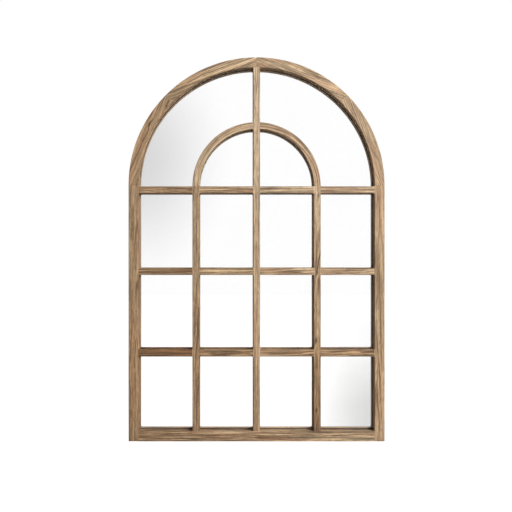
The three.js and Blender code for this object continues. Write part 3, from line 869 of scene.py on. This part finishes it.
def build_bars():
    """Muntins, the short bars between them, and the two halves of the inner arch."""
    row_joints = [z - RAIL_TOP for z in ROW_EDGES]
    left_marks = [
        (-0.187, -0.62, 90, 0.1, 2.4 * MM, 0.7),
        (-0.193, -0.37, 91, 0.09, 2 * MM, 0.7),
        (-0.187, -0.1, 89, 0.08, 1.8 * MM, 0.6),
    ]
    right_marks = [(0.194, -0.197, 80, 0.042, 3.6 * MM, 0.9), (0.186, -0.56, 90, 0.08, 2 * MM, 0.6)]
    knots = [
        (0.192, 0.008, 2 * MM),
        (0.189, -0.232, 2.2 * MM),
        (0.186, -0.444, 2.6 * MM),
        (0.186, -0.662, 2.4 * MM),
    ]
    # Tones partly their own and partly painted light: darker at the bottom, brighter at the top.
    left_figure = Figure(8, 16 * MM, 28 * MM, (0.004, 0.02), (0.84, 1.06), marks=left_marks)
    right_figure = Figure(9, 3 * MM, 18 * MM, (0.006, 0.03), (0.66, 1.35), knots, right_marks)
    for side, name, figure in ((-1, "left_muntin", left_figure), (1, "right_muntin", right_figure)):
        x = side * SIDE_X
        line = Line((x, RAIL_TOP), (x, INNER_Z), (1, 0))
        wooden_member(name, line, BAR, BAR_BACK, figure, [0, *row_joints])

    crossings = [(INNER_RADIUS - BAR / 2, INNER_Z), (INNER_RADIUS + BAR / 2, INNER_Z)]
    crossings.append((OPEN_HALF, SPRING_Z))
    arch_joints = [z - RAIL_TOP + math.sqrt(r * r - BAR * BAR / 4) for r, z in crossings]
    line = Line((0, RAIL_TOP), (0, SPRING_Z + OPEN_HALF), (1, 0))
    figure = Figure(10, 26 * MM, 30 * MM, (0.002, 0.012), (1.0, 1.4))

    def scribed(t):
        return np.zeros_like(t), SPRING_Z - RAIL_TOP + np.sqrt(OPEN_HALF**2 - t**2)

    joints = [0, *row_joints, *arch_joints]
    wooden_member("centre_muntin", line, BAR, BAR_BACK, figure, joints, trim=scribed)

    marks = {
        "lower_bar_2": [
            (-0.1, -0.487, 0, 0.07, 2.2 * MM, 0.8),
            (-0.08, -0.479, 1, 0.055, 1.6 * MM, 0.8),
        ],
        "middle_bar_4": [
            (0.3, -0.226, 0, 0.06, 1.6 * MM, 0.6),
            (0.28, -0.234, 1, 0.05, 1.5 * MM, 0.6),
        ],
        "spring_bar_1": [(-0.28, 0.022, 0, 0.06, 1.8 * MM, 0.5)],
    }
    for row, (name, (z0, z1)) in enumerate(ROWS.items()):
        for bay, (x0, x1) in enumerate(COLUMN_EDGES):
            z = (z0 + z1) / 2
            line = Line((x0 + HAIRLINE, z), (x1 - HAIRLINE, z), (0, 1))
            seed = 20 + 4 * row + bay
            rng = np.random.default_rng(seed)
            heart, depth = rng.uniform(-20, 20) * MM, rng.uniform(14, 36) * MM
            drift = (rng.uniform(-0.03, 0.03), rng.uniform(-0.05, 0.05))
            node = f"{name}_{bay + 1}"
            tone = (BAR_TONES_AND_LIGHT[node], BAR_TONES_AND_LIGHT[node])
            figure = Figure(seed, heart, depth, drift, tone, marks=marks.get(node, ()))
            wooden_member(node, line, BAR, BAR_BACK, figure, [0, line.length])

    def butted(start, reach):
        def trim(t):
            meets = INNER_RADIUS * (math.pi / 2 - np.arcsin(BAR / 2 / (INNER_RADIUS + t)))
            whole = np.full_like(t, reach)
            return (whole - meets, whole) if start else (np.zeros_like(t), meets)
        return trim

    quarter = math.pi / 2
    for name, start, seed in (("inner_arch_right", 0, 40), ("inner_arch_left", quarter, 41)):
        line = Arc(INNER_RADIUS, start, start + quarter, INNER_Z, bent=True)
        figure = Figure(seed, 18 * MM, 26 * MM, (0.02, 0.02), (1.2, 1.2))
        trim = butted(start > 0, line.length)
        wooden_member(name, line, BAR, BAR_BACK, figure, [0, line.length], trim=trim)


# Each short bar's tone, partly its own and partly painted light: the lower and left-hand bars darker.
BAR_TONES_AND_LIGHT = {
    "lower_bar_1": 0.5,
    "lower_bar_2": 0.8,
    "lower_bar_3": 0.92,
    "lower_bar_4": 0.85,
    "middle_bar_1": 0.86,
    "middle_bar_2": 1.06,
    "middle_bar_3": 1.1,
    "middle_bar_4": 1.1,
    "spring_bar_1": 0.9,
    "spring_bar_2": 1.05,
    "spring_bar_3": 1.2,
    "spring_bar_4": 1.2,
}

# ---- Sheets -------------------------------------------------------------------------------------

COAT = 0.1 * MM  # the silver and its paint
COAT_GAP = 0.02 * MM


def arched_outline(low, high):
    """The frame's outline drawn in to a sheet's box: three straight sides and a half circle."""
    half = high.x
    arc = [math.radians(degree) for degree in range(181)]
    head = [(half * math.cos(a), SPRING_Z + half * math.sin(a)) for a in arc]
    return [(-half, low.z), (half, low.z), *head]


def build_sheets():
    outline = arched_outline(glass_low, glass_high)
    coat_front = GLASS_BACK_Y - COAT
    pane = extruded("mirror_pane", outline, GLASS_FRONT_Y, coat_front - COAT_GAP)
    softened(pane, 0.3 * MM)
    dress(pane, GLASS, "frame", "mirror_glass", "mirror_glass")
    coat = extruded("mirror_silver", outline, coat_front, GLASS_BACK_Y)
    dress(coat, SILVER, "frame", "mirror_glass", "mirror_glass")
    outline = arched_outline(board_low, board_high)
    board = extruded("back_panel", outline, GLASS_BACK_Y, BOARD_BACK_Y)
    softened(board, 0.25 * MM)
    dress(board, HARDBOARD, "frame", "fibreboard", "backing_board")


# ---- Hardware -----------------------------------------------------------------------------------

SCREW_SIDES = 40
RING_SIDES = 20
STRAP_THICKNESS = 1.2 * MM
KNUCKLE_WIDTH = 8.6 * MM
KNUCKLE_BORE = 1.5 * MM
WIRE = 1.2 * MM  # radius
RING_CORNER = 2.6 * MM
RING_SEAM = 0.6 * MM
SCREW_HOLE = 1.8 * MM
RECESS = (3.4 * MM, 0.8 * MM, 1.1 * MM)  # length, width and depth of the cross
BUMPER_ROUND = 1.4 * MM


def centre_of(node):
    low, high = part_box(node)
    return (low + high) / 2


def screw_mesh():
    """A pan-head screw with a cross recess, its head's underside at y = 0."""
    low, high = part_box("board_screw_1")
    head_y = high.y - BOARD_BACK_Y
    length = BOARD_BACK_Y - low.y
    head, shank = (high.x - low.x) / 2, 1.5 * MM
    thread = []
    y, pitch = -length + 2.4 * MM, 1.1 * MM
    while y < -2 * MM:
        thread += [(shank * 0.74, y), (shank, y + pitch * 0.35), (shank * 0.74, y + pitch * 0.7)]
        y += pitch
    dome = [
        (head * math.cos(a), head_y * (0.36 + 0.64 * math.sin(a)))
        for a in np.linspace(0, math.pi / 2, 9)[:-1]
    ]
    profile = [(0, -length), *thread, (shank, -1.6 * MM), (shank, 0), (head, 0), *dome, (0, head_y)]
    piece = lathe("screw", profile, SCREW_SIDES)
    long, wide, deep = RECESS
    for width, height in ((long, wide), (wide, long)):
        outline = [(-width / 2, -height / 2), (width / 2, -height / 2)]
        outline += [(width / 2, height / 2), (-width / 2, height / 2)]
        arm = extruded("arm", outline, head_y - deep, head_y + MM)
        combined(piece, arm, "DIFFERENCE")
    for polygon in piece.data.polygons:
        polygon.use_smooth = True
    return piece


def flat_shaded_edges(piece, angle=35):
    """Sharp edges where the faces turn by more than angle, after a cut."""
    shape = bmesh.new()
    shape.from_mesh(piece.data)
    for face in shape.faces:
        face.smooth = True
    for edge in shape.edges:
        edge.smooth = len(edge.link_faces) == 2 and edge.calc_face_angle(0) < math.radians(angle)
    shape.to_mesh(piece.data)
    shape.free()
    return piece


def build_screws():
    master = flat_shaded_edges(screw_mesh())
    names = [name for name in frame["nodes"] if "_screw_" in name]
    for i, name in enumerate(sorted(names)):
        mesh = master.data.copy()
        mesh.transform(Matrix.Rotation(0.7 * i, 4, "Y"))
        screw = bpy.data.objects.new("zinc_" + name, mesh)
        bpy.context.scene.collection.objects.link(screw)
        low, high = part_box(name)
        seat = BOARD_BACK_Y if name.startswith("board") else BACK_Y + STRAP_THICKNESS
        screw.location = ((low.x + high.x) / 2, seat, (low.z + high.z) / 2)
        dress(screw, ZINC, "frame", "zinc_steel", name)
    bpy.data.objects.remove(master)


def strap_piece(hinge, node):
    """A steel strap rolled round the ring's wire at its top, with two screw holes."""
    low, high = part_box(node)
    outer = KNUCKLE_BORE + STRAP_THICKNESS
    half = (high.x - low.x) / 2
    end = low.z + half - hinge.z
    arc = [math.pi + math.pi * i / 24 for i in range(25)]
    outline = [(half * math.cos(a), end + half * math.sin(a)) for a in arc]
    shoulder = -outer - 1.5 * MM
    neck = KNUCKLE_WIDTH / 2
    outline += [(half, shoulder), (neck, -outer + 0.5 * MM), (neck, -0.2 * MM)]
    outline += [(-neck, -0.2 * MM), (-neck, -outer + 0.5 * MM), (-half, shoulder)]
    plate = extruded("zinc_" + node, outline, -outer, -KNUCKLE_BORE)
    roll = []
    turn = np.linspace(-math.pi / 2, math.radians(205), 40)
    for radius, angles in ((outer, turn), (KNUCKLE_BORE, turn[::-1])):
        roll += [(radius * math.sin(a), -radius * math.cos(a)) for a in angles - math.pi / 2]
    count = len(roll)
    points = [(x, y, z) for x in (-neck, neck) for y, z in roll]
    knuckle = new_piece("knuckle", points, faces_of_tube(2, count))
    combined(plate, knuckle, "UNION")
    for i in (1, 2):
        screw = centre_of(node.replace("strap", "screw") + f"_{i}")
        hole = lathe("hole", [(0, -outer - MM), (SCREW_HOLE, -outer - MM), (SCREW_HOLE, 0), (0, 0)], 32)
        hole.data.transform(Matrix.Translation((0, 0, screw.z - hinge.z)))
        combined(plate, hole, "DIFFERENCE")
    flat_shaded_edges(plate)
    plate.location = hinge
    softened(plate, 0.16 * MM)
    return plate


def ring_piece(hinge, node):
    """A D of bent wire that hangs from its straight side; its ends meet inside the knuckle."""
    low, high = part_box(node)
    half = (high.x - low.x) / 2 - WIRE
    round_z = low.z - hinge.z + WIRE + half
    corner = half - RING_CORNER
    path = [(x, 0) for x in np.linspace(RING_SEAM / 2, corner, 8)[:-1]]
    path += arc_points(corner, -RING_CORNER, RING_CORNER, math.pi / 2, 0, 14)[:-1]
    path += [(half, z) for z in np.linspace(-RING_CORNER, round_z, 10)[:-1]]
    path += arc_points(0, round_z, half, 0, -math.pi, 48)[:-1]
    path += [(-half, z) for z in np.linspace(round_z, -RING_CORNER, 10)[:-1]]
    path += arc_points(-corner, -RING_CORNER, RING_CORNER, math.pi, math.pi / 2, 14)[:-1]
    path += [(x, 0) for x in np.linspace(-corner, -RING_SEAM / 2, 8)]
    path = np.array(path)
    tangent = np.gradient(path, axis=0)
    tangent /= np.linalg.norm(tangent, axis=1)[:, None]
    tangent[0], tangent[-1] = (1, 0), (1, 0)
    points = []
    for (x, z), (tx, tz) in zip(path, tangent):
        for i in range(RING_SIDES):
            angle = 2 * math.pi * i / RING_SIDES
            side = WIRE * math.cos(angle)
            points.append((x - tz * side, WIRE * math.sin(angle), z + tx * side))
    ring = new_piece("zinc_" + node, points, faces_of_tube(len(path), RING_SIDES))
    ring.location = hinge
    return ring


def arc_points(x, z, radius, start, end, count):
    angles = np.linspace(start, end, count)
    return [(x + radius * math.cos(a), z + radius * math.sin(a)) for a in angles]


def build_hangers():
    for joint in frame["joints"]:
        side = joint["name"].rsplit("_", 1)[1]
        hinge = Vector(joint["pos_m"])
        strap = strap_piece(hinge, f"hanger_strap_{side}")
        dress(strap, ZINC, "frame", "zinc_steel", f"hanger_strap_{side}")
        ring = ring_piece(hinge, f"hanger_ring_{side}")
        dress(ring, ZINC, f"ring_{side}", "zinc_steel", f"hanger_ring_{side}")


def build_bumpers():
    """Stuck-on rubber domes with a rounded rim and a shallow dimple in the face."""
    for name in sorted(n for n in frame["nodes"] if n.startswith("bumper_")):
        low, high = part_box(name)
        radius, height = (high.x - low.x) / 2, high.y - low.y
        rim = [
            (radius - BUMPER_ROUND * (1 - math.cos(a)), height - BUMPER_ROUND * (1 - math.sin(a)))
            for a in np.linspace(0, math.pi / 2, 7)
        ]
        flare = [(radius, 0.0), (radius, 0.5 * MM), (radius - 0.25 * MM, 0.8 * MM)]
        flare += [(radius - 0.25 * MM, height * 0.45)]
        dimple = [(radius * 0.45, height), (radius * 0.3, height - 0.25 * MM)]
        profile = [(0, 0), *flare, *rim, *dimple, (0, height - 0.3 * MM)]
        piece = lathe("rubber_" + name, profile, 48)
        centre = (low + high) / 2
        piece.location = (centre.x, low.y, centre.z)
        dress(piece, RUBBER, "frame", "bumper_rubber", name)


# ---- Stage, light and camera --------------------------------------------------------------------

FLOOR_DROP = 0.9  # the mirror hangs this far above the floor
FLOOR_GLOW = (0.92, 1.0)  # how bright the floor looks near the foot and far from it, before light
FLOOR_FAR = (4.5, 6.5)  # metres from the foot between which it changes
AMBIENT = 0.2
CAMERA = Vector((-0.068, FRONT_Y - 1.55, BOTTOM + 0.606))
LENS = 34.92
SHIFT = (0.0414, -0.0167)


def seen_directly(n):
    """1 for what the camera sees, also in a mirror or through glass, and 0 for light on a surface."""
    path = n.add("LightPath").outputs
    seen = n.math("MAXIMUM", path["Is Camera Ray"], path["Is Glossy Ray"])
    seen = n.math("MAXIMUM", seen, path["Is Transmission Ray"])
    return n.math("MULTIPLY", seen, n.math("LESS_THAN", path["Diffuse Depth"], 0.5))


def build_world():
    world = bpy.data.worlds.new("studio")
    bpy.context.scene.world = world
    world.use_nodes = True
    n = Nodes.__new__(Nodes)
    n.tree = world.node_tree
    n.tree.nodes.clear()
    strength = n.ranged(seen_directly(n), 0, 1, AMBIENT, 1.0, smooth=False)
    light = n.add("Background", {"Color": (1, 1, 1, 1), "Strength": strength}).outputs[0]
    n.add("OutputWorld", {"Surface": light})


def build_floor():
    size = 14.0
    z = BOTTOM - FLOOR_DROP
    floor = new_piece("floor", *slab(size, z))
    n = Nodes("pale_floor")
    place = n.add("TexCoord").outputs["Object"]
    tint = n.mix(n.noise(place, (3, 3, 3)), colour(142, 141, 140), colour(154, 153, 152))
    matt = n.add("BsdfDiffuse", {"Color": tint}).outputs[0]
    flat = n.scaled(place, (1, 1, 0))
    away = n.add("VectorMath", {0: flat}, operation="LENGTH").outputs["Value"]
    glow = n.math("MULTIPLY", seen_directly(n), n.ranged(away, *FLOOR_FAR, *FLOOR_GLOW))
    white = n.add("Emission", {"Color": (1, 1, 1, 1), "Strength": glow}).outputs[0]
    surface = n.add("AddShader", {0: matt, 1: white}).outputs[0]
    n.add("OutputMaterial", {"Surface": surface})
    floor.data.materials.append(n.material)


def slab(size, z):
    corners = [(-size, -size), (size, -size), (size, size), (-size, size)]
    points = [(x, y, h) for h in (z - 0.02, z) for x, y in corners]
    return points, faces_of_tube(2, 4)


def build_card(name, centre, reach, darkness):
    """A soft grey card that only the mirror sees."""
    x_reach, z_reach = reach
    signs = [(-1, -1), (1, -1), (1, 1), (-1, 1)]
    points = [(x * x_reach, 0, z * z_reach) for x, z in signs]
    mesh = bpy.data.meshes.new(name)
    mesh.from_pydata(points, [], [(0, 1, 2, 3)])
    card = bpy.data.objects.new(name, mesh)
    bpy.context.scene.collection.objects.link(card)
    card.location = centre
    n = Nodes(name)
    place = n.scaled(n.add("TexCoord").outputs["Object"], (1 / x_reach, 1, 1 / z_reach))
    away = n.add("VectorMath", {0: place}, operation="LENGTH").outputs["Value"]
    grey = n.ranged(away, 0.0, 1.0, 1 - darkness, 1.0)
    shade = n.add("CombineColor", {0: grey, 1: grey, 2: grey}).outputs[0]
    veil = n.add("BsdfTransparent", {"Color": shade})
    n.add("OutputMaterial", {"Surface": veil.outputs[0]})
    card.data.materials.append(n.material)
    card.visible_camera = card.visible_diffuse = card.visible_shadow = False


def build_lamp(name, place, target, size, power):
    lamp = bpy.data.lights.new(name, "AREA")
    lamp.shape, lamp.size, lamp.energy = "DISK", size, power
    holder = bpy.data.objects.new(name, lamp)
    bpy.context.scene.collection.objects.link(holder)
    holder.location = place
    holder.rotation_euler = (Vector(target) - Vector(place)).to_track_quat("-Z", "Y").to_euler()


def build_stage():
    build_world()
    build_floor()
    build_card("card_upper_left", (-0.98, -3.2, 0.7), (0.95, 1.3), 0.3)
    build_card("card_lower_right", (1.1, -2.4, -1.5), (0.85, 0.95), 0.48)
    build_lamp("key", (4.0, -3.4, 2.3), (0, 0, -0.16), 2.0, 440)
    build_lamp("fill_behind", (-1.3, 2.4, 1.0), (0, 0, -0.1), 1.6, 60)
    view = bpy.data.cameras.new("view")
    view.lens, view.sensor_width = LENS, 36
    view.shift_x, view.shift_y = SHIFT
    camera = bpy.data.objects.new("view", view)
    camera.location = CAMERA
    camera.rotation_euler = (math.radians(90), 0, 0)
    bpy.context.scene.collection.objects.link(camera)
    bpy.context.scene.camera = camera
    bpy.context.scene.view_settings.view_transform = "Standard"


build_frame()
build_bars()
build_sheets()
build_screws()
build_hangers()
build_bumpers()
for name, node in frame["nodes"].items():
    if name.startswith(("arch_spline", "rail_dowel")):
        node.data.materials.clear()
        node.data.materials.append(BEECH)
build_stage()
